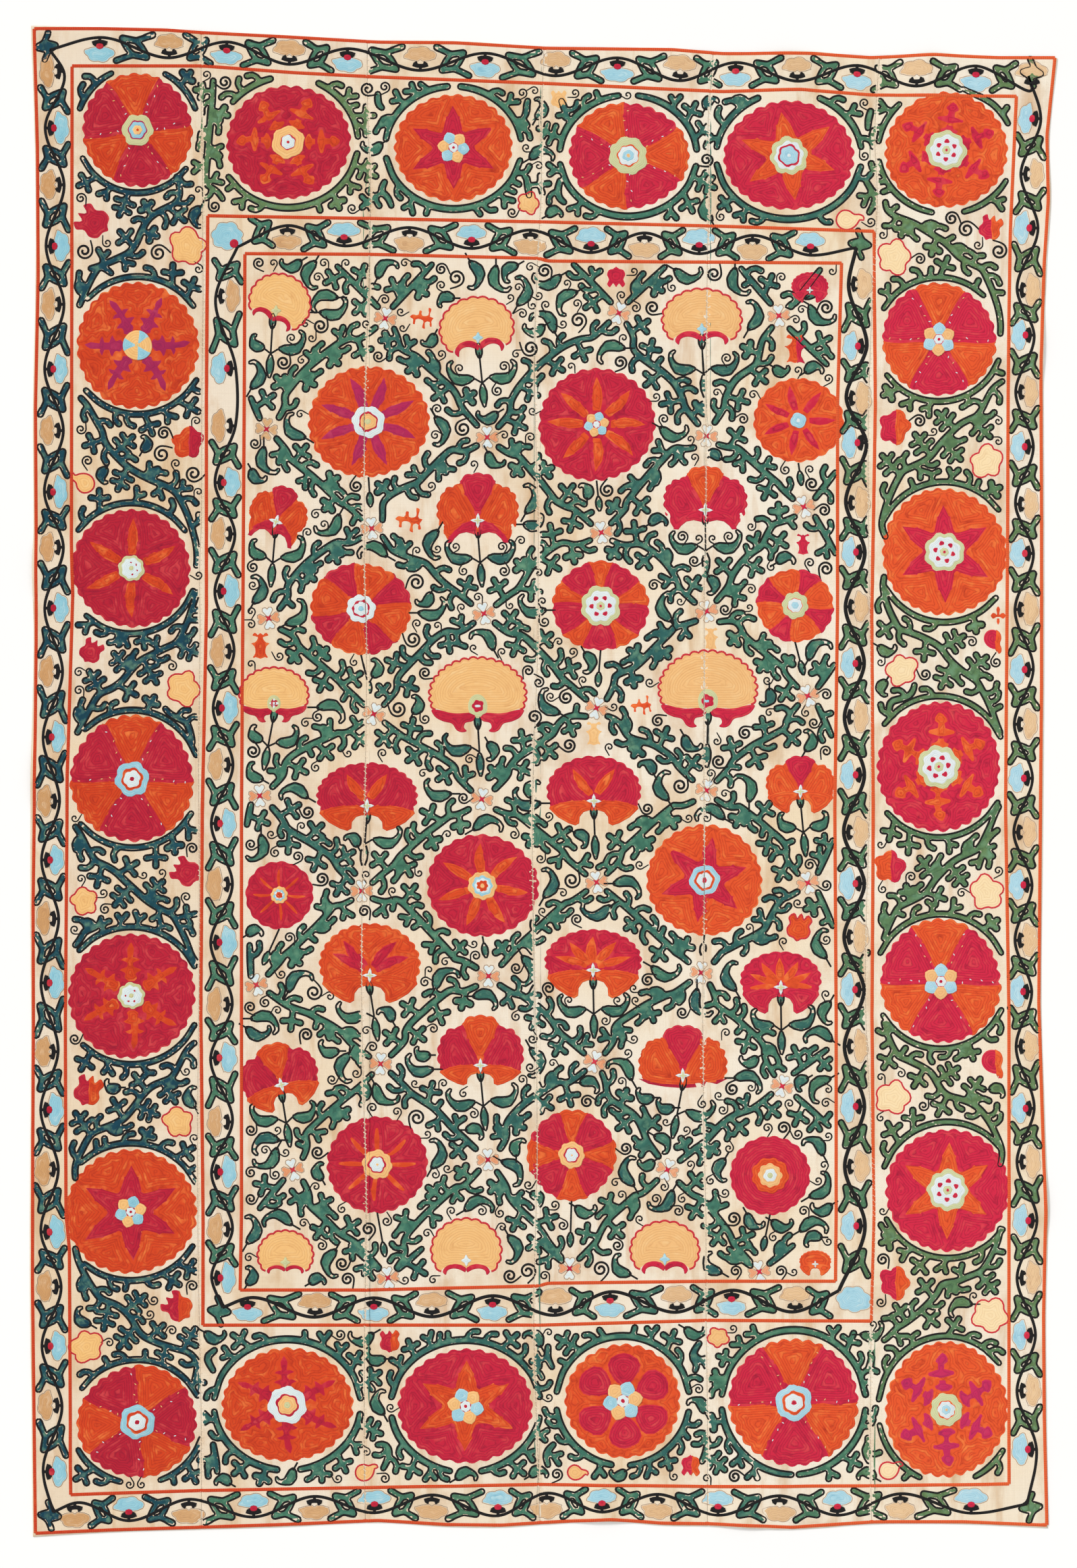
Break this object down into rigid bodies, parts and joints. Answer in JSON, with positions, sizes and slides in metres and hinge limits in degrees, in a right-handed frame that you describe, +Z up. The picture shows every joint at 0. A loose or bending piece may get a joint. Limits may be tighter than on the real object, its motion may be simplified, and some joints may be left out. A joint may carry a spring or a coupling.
{
  "type": "suzani embroidered textile",
  "caption": "Large embroidered suzani laid flat: hand-woven cotton strips sewn side by side, covered in silk rosettes, palmettes, leafy lattice and borders, used as a hanging or cover.",
  "frame": {"origin": "on the surface that the cloth lies on, under the middle of its outline", "axes": "+X across the cloth to the right as its face is seen from above, +Y along its length towards the end that is uppermost when it hangs, +Z up out of its face"},
  "size_m": [1.706, 2.5076, 0.0075],
  "materials": {
    "cotton": "undyed hand-woven cotton, matt, with slubs and pale yellow stains",
    "silk_orange": "orange-red silk couching with a soft sheen",
    "silk_crimson": "crimson silk couching with a soft sheen",
    "silk_green": "teal to sage green silk stitching",
    "silk_black": "blue-black silk chain stitch",
    "silk_blue": "pale blue silk stitching",
    "silk_yellow": "straw yellow to ochre silk stitching"
  },
  "bodies": {
    "root": {"strip_1": "cotton", "strip_2": "cotton", "strip_3": "cotton", "strip_4": "cotton", "strip_5": "cotton", "strip_6": "cotton"}
  },
  "joints": []
}
